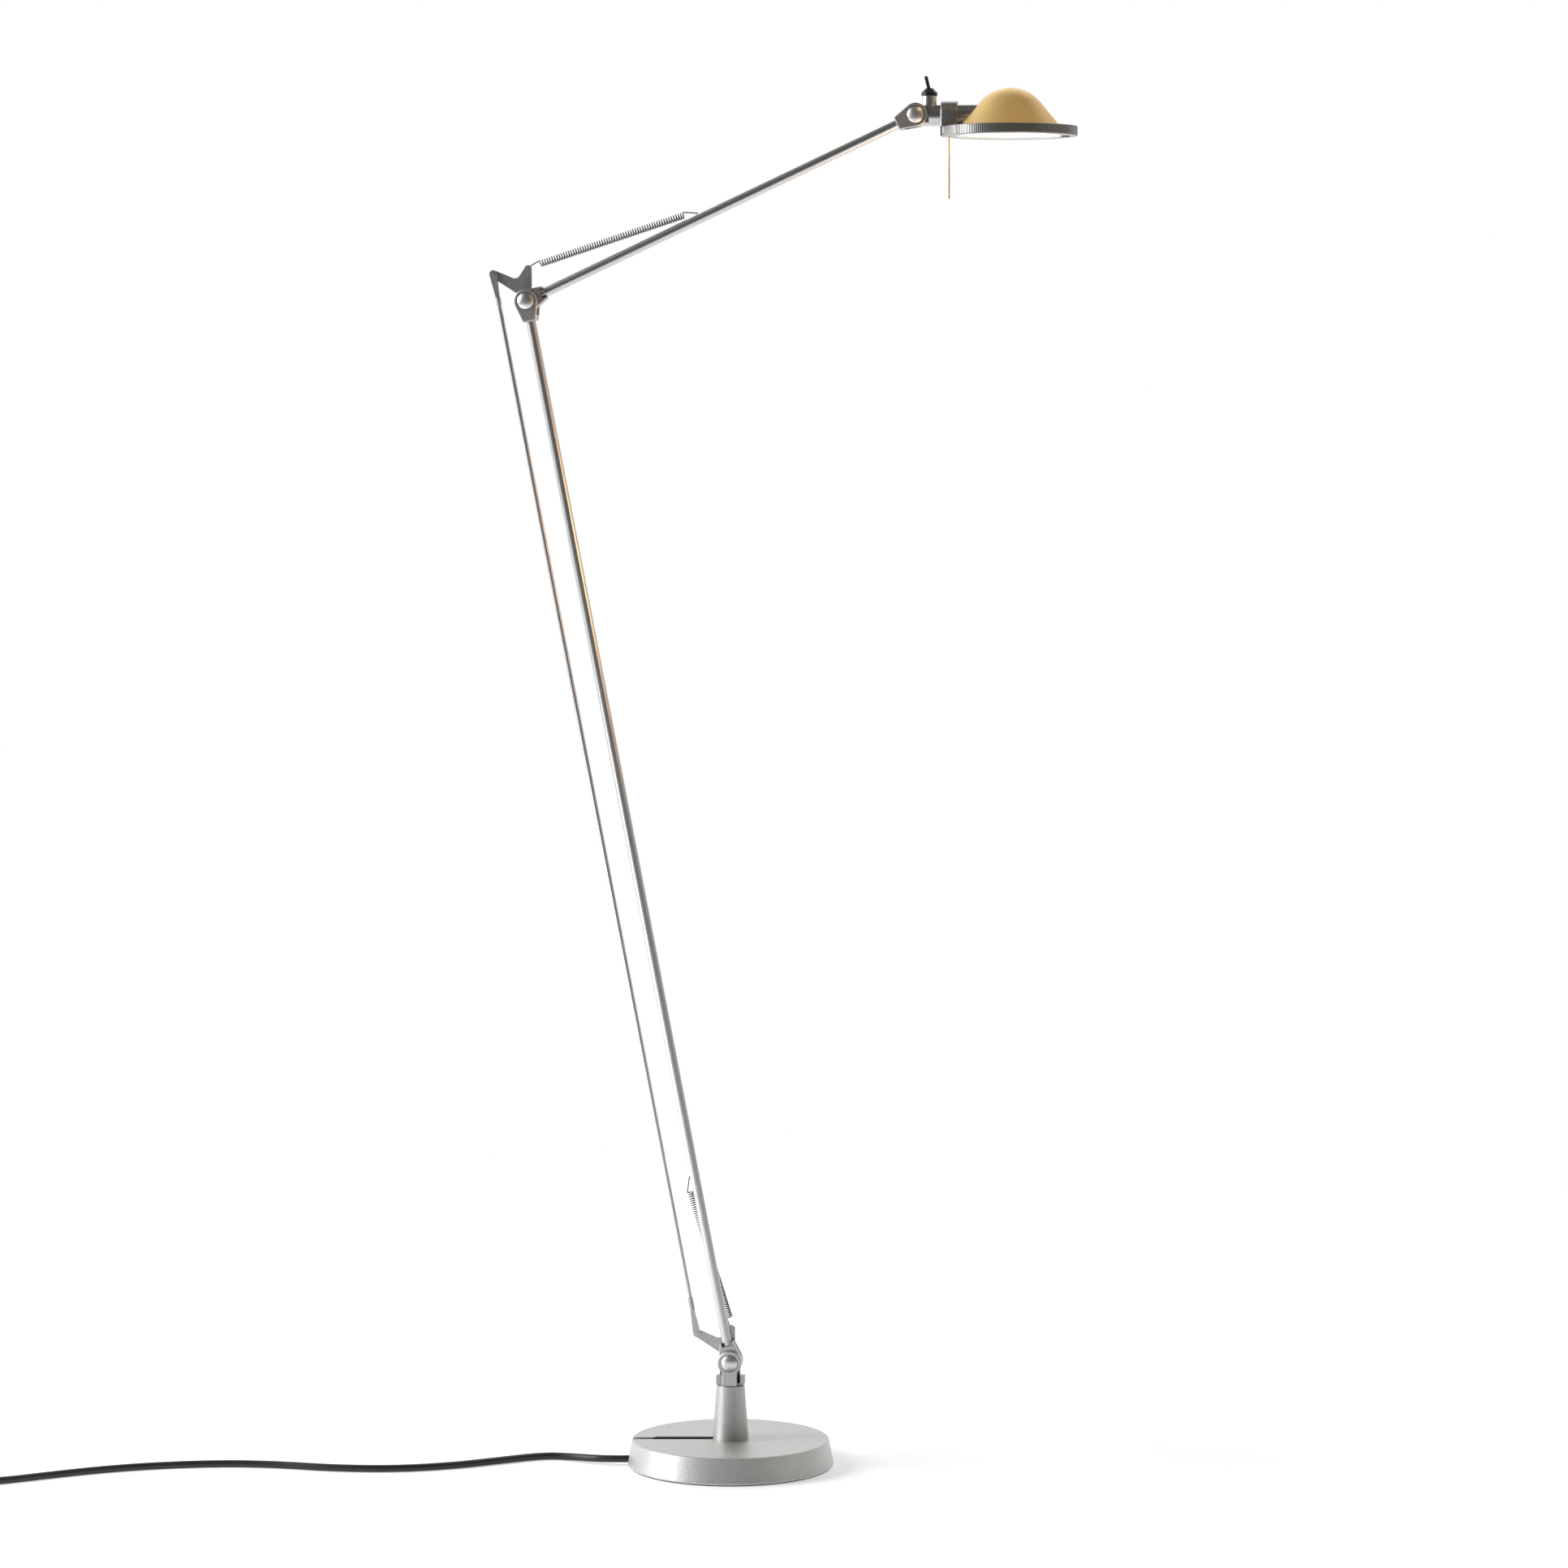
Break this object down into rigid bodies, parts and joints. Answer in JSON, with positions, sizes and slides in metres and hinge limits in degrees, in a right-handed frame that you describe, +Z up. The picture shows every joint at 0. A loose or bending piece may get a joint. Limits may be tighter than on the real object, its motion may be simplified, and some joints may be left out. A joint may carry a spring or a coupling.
{
  "type": "adjustable arm floor lamp",
  "caption": "Slim floor lamp on a round weighted base: spring-balanced jointed arms with a parallel rod, and a turning domed reflector head with a toggle switch.",
  "frame": {"origin": "centre of the foot pad's underside, on the floor", "axes": "+Z up; the arms stand in the XZ plane and the upper arm and head reach towards +X; the joint caps face -Y and +Y"},
  "size_m": [0.9619, 0.2444, 1.1233],
  "materials": {
    "base_powder": "silver grey metallic powder coat, fine speckle",
    "joint_powder": "silver grey metallic powder coat, fine speckle",
    "tube_aluminium": "satin anodised",
    "cap_steel": "satin turned steel",
    "zinc_steel": "zinc plated",
    "spring_steel": "dark spring wire",
    "cast_iron": "raw casting",
    "foot_rubber": "matt black",
    "black_plastic": "matt black moulding",
    "nylon": "natural nylon",
    "cord_rubber": "satin black jacket",
    "boot_rubber": "satin black",
    "brass": "plain brass",
    "dome_gold": "satin gold anodised",
    "glass_frosted": "frosted diffuser",
    "bulb_glass": "clear quartz capsule",
    "ceramic": "white ceramic",
    "handle_steel": "polished wire"
  },
  "bodies": {
    "base": {"base_shell": "base_powder", "base_weight": "cast_iron", "base_plate": "zinc_steel", "plate_screws": "zinc_steel", "foot_pad": "foot_rubber", "stem_cone": "base_powder", "cone_nipple": "zinc_steel", "cone_nut": "zinc_steel", "swivel_bush": "nylon", "groove_lead": "cord_rubber", "supply_cord": "cord_rubber", "cord_coil": "cord_rubber", "cord_tail": "cord_rubber", "cord_tie": "black_plastic", "plug_body": "black_plastic", "plug_pins": "brass"},
    "stem": {"stem_fork": "joint_powder", "swivel_collar": "joint_powder", "shank_ring": "zinc_steel", "stem_lead": "cord_rubber", "lower_lever": "joint_powder", "lower_rod_rivet": "cap_steel", "base_joint_bolt": "zinc_steel", "base_joint_caps": "cap_steel"},
    "lower_arm": {"lower_knuckle": "joint_powder", "lower_arm_tube": "tube_aluminium", "elbow_fork": "joint_powder", "lower_spring_pin": "zinc_steel", "lower_arm_lead": "cord_rubber", "elbow_bolt": "zinc_steel", "elbow_caps": "cap_steel", "lower_spring": "spring_steel"},
    "parallel_rod": {"rod_lower_end": "joint_powder", "parallel_rod": "tube_aluminium", "rod_upper_end": "joint_powder"},
    "elbow_lever": {"elbow_lever": "joint_powder", "upper_rod_rivet": "cap_steel"},
    "upper_arm": {"upper_knuckle": "joint_powder", "upper_arm_tube": "tube_aluminium", "head_fork": "joint_powder", "upper_spring_pin": "zinc_steel", "upper_arm_lead": "cord_rubber", "head_joint_bolt": "zinc_steel", "head_joint_caps": "cap_steel", "upper_spring": "spring_steel"},
    "head_pivot": {"head_tube": "joint_powder", "switch_boss": "tube_aluminium", "switch_body": "black_plastic", "switch_boot": "boot_rubber"},
    "reflector_head": {"head_collar": "joint_powder", "rim_ring": "joint_powder", "reflector_dome": "dome_gold", "glass_diffuser": "glass_frosted", "glass_catch": "black_plastic", "socket_carrier": "joint_powder", "lamp_holder": "ceramic", "halogen_bulb": "bulb_glass", "handle_rod": "handle_steel"},
    "switch_toggle": {"toggle_lever": "black_plastic"}
  },
  "joints": [
    {"name": "stem_swivel", "type": "hinge", "parent": "base", "child": "stem", "pos_m": [0, 0, 0.05], "axis": [0, 0, 1], "range_deg": [-170, 170]},
    {"name": "lower_arm_tilt", "type": "hinge", "parent": "stem", "child": "lower_arm", "pos_m": [0, 0, 0.0854], "axis": [0, 1, 0], "range_deg": [-14, 50], "deforming": ["lower_spring"]},
    {"name": "rod_tilt", "type": "hinge", "parent": "stem", "child": "parallel_rod", "pos_m": [-0.028, 0, 0.1074], "axis": [0, 1, 0], "range_deg": [-14, 50]},
    {"name": "elbow_lever_turn", "type": "hinge", "parent": "lower_arm", "child": "elbow_lever", "pos_m": [-0.16407, 0, 0.94549], "axis": [0, 1, 0], "range_deg": [-50, 14]},
    {"name": "upper_arm_tilt", "type": "hinge", "parent": "elbow_lever", "child": "upper_arm", "pos_m": [-0.16407, 0, 0.94549], "axis": [0, 1, 0], "range_deg": [-55, 30], "deforming": ["upper_spring"]},
    {"name": "head_tilt", "type": "hinge", "parent": "upper_arm", "child": "head_pivot", "pos_m": [0.14944, 0, 1.09235], "axis": [0, 1, 0], "range_deg": [-75, 60]},
    {"name": "head_roll", "type": "hinge", "parent": "head_pivot", "child": "reflector_head", "pos_m": [0.17644, 0, 1.09235], "axis": [1, 0, 0], "range_deg": [-170, 170]},
    {"name": "switch_throw", "type": "hinge", "parent": "head_pivot", "child": "switch_toggle", "pos_m": [0.16004, 0, 1.11125], "axis": [0, 1, 0], "range_deg": [0, 28]}
  ],
  "couplings": [
    {"joint": "rod_tilt", "follows": "lower_arm_tilt", "ratio": 1},
    {"joint": "elbow_lever_turn", "follows": "lower_arm_tilt", "ratio": -1}
  ]
}
